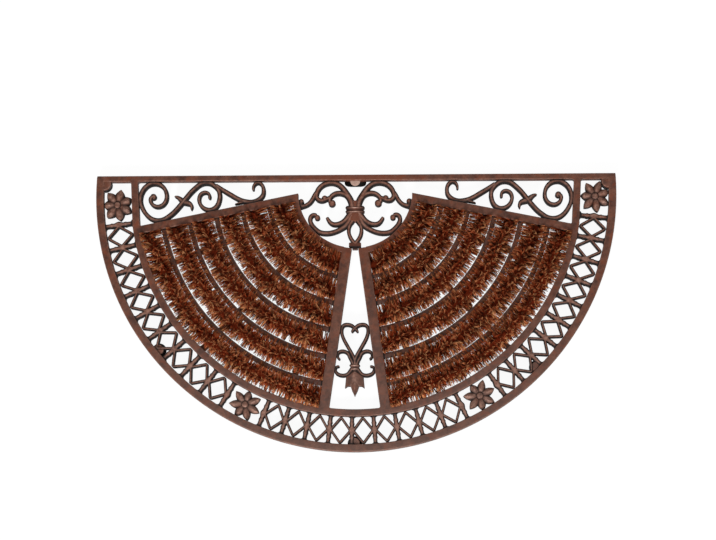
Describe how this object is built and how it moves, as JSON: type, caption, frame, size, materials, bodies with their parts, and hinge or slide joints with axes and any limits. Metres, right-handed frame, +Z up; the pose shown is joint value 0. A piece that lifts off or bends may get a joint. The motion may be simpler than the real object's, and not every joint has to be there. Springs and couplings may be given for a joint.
{
  "type": "half-round boot mat",
  "caption": "Half-round cast-iron boot-scraper mat with curved rows of coir brush, a pierced frieze, scrollwork and rubber feet.",
  "frame": {"origin": "under the middle of the mat's overall box, on the surface that it lies on", "axes": "+X to the right along the straight back edge, +Y towards the back edge, +Z up"},
  "size_m": [0.7498, 0.4, 0.0223],
  "materials": {
    "frame_iron": "rust-brown cast iron, satin, sand-cast grain",
    "coir_bristle": "coarse red-brown coir fibre on twisted wire",
    "rubber_foot": "matt black"
  },
  "bodies": {
    "root": {"outer_rim": "frame_iron", "back_bar": "frame_iron", "inner_rim": "frame_iron", "end_post_left": "frame_iron", "end_post_right": "frame_iron", "upper_bar_left": "frame_iron", "upper_bar_right": "frame_iron", "wedge_bar_left": "frame_iron", "wedge_bar_right": "frame_iron", "hub_arc_left": "frame_iron", "hub_arc_right": "frame_iron", "rib_left_1": "frame_iron", "rib_left_2": "frame_iron", "rib_left_3": "frame_iron", "rib_left_4": "frame_iron", "rib_left_5": "frame_iron", "rib_right_1": "frame_iron", "rib_right_2": "frame_iron", "rib_right_3": "frame_iron", "rib_right_4": "frame_iron", "rib_right_5": "frame_iron", "cross_bar_left_1": "frame_iron", "cross_bar_left_2": "frame_iron", "cross_bar_left_3": "frame_iron", "cross_bar_right_1": "frame_iron", "cross_bar_right_2": "frame_iron", "cross_bar_right_3": "frame_iron", "flower_left_corner": "frame_iron", "flower_left_band": "frame_iron", "flower_right_band": "frame_iron", "flower_right_corner": "frame_iron", "band_panel_left": "frame_iron", "band_panel_middle": "frame_iron", "band_panel_right": "frame_iron", "side_scroll_left": "frame_iron", "side_scroll_right": "frame_iron", "hub_scrollwork": "frame_iron", "heart_ornament": "frame_iron", "brush_left_1": "coir_bristle", "brush_left_2": "coir_bristle", "brush_left_3": "coir_bristle", "brush_left_4": "coir_bristle", "brush_left_5": "coir_bristle", "brush_left_6": "coir_bristle", "brush_right_1": "coir_bristle", "brush_right_2": "coir_bristle", "brush_right_3": "coir_bristle", "brush_right_4": "coir_bristle", "brush_right_5": "coir_bristle", "brush_right_6": "coir_bristle", "foot_left_corner": "rubber_foot", "foot_right_corner": "rubber_foot", "foot_middle_back": "rubber_foot", "foot_left_rim": "rubber_foot", "foot_right_rim": "rubber_foot", "foot_middle_rim": "rubber_foot"}
  },
  "joints": []
}
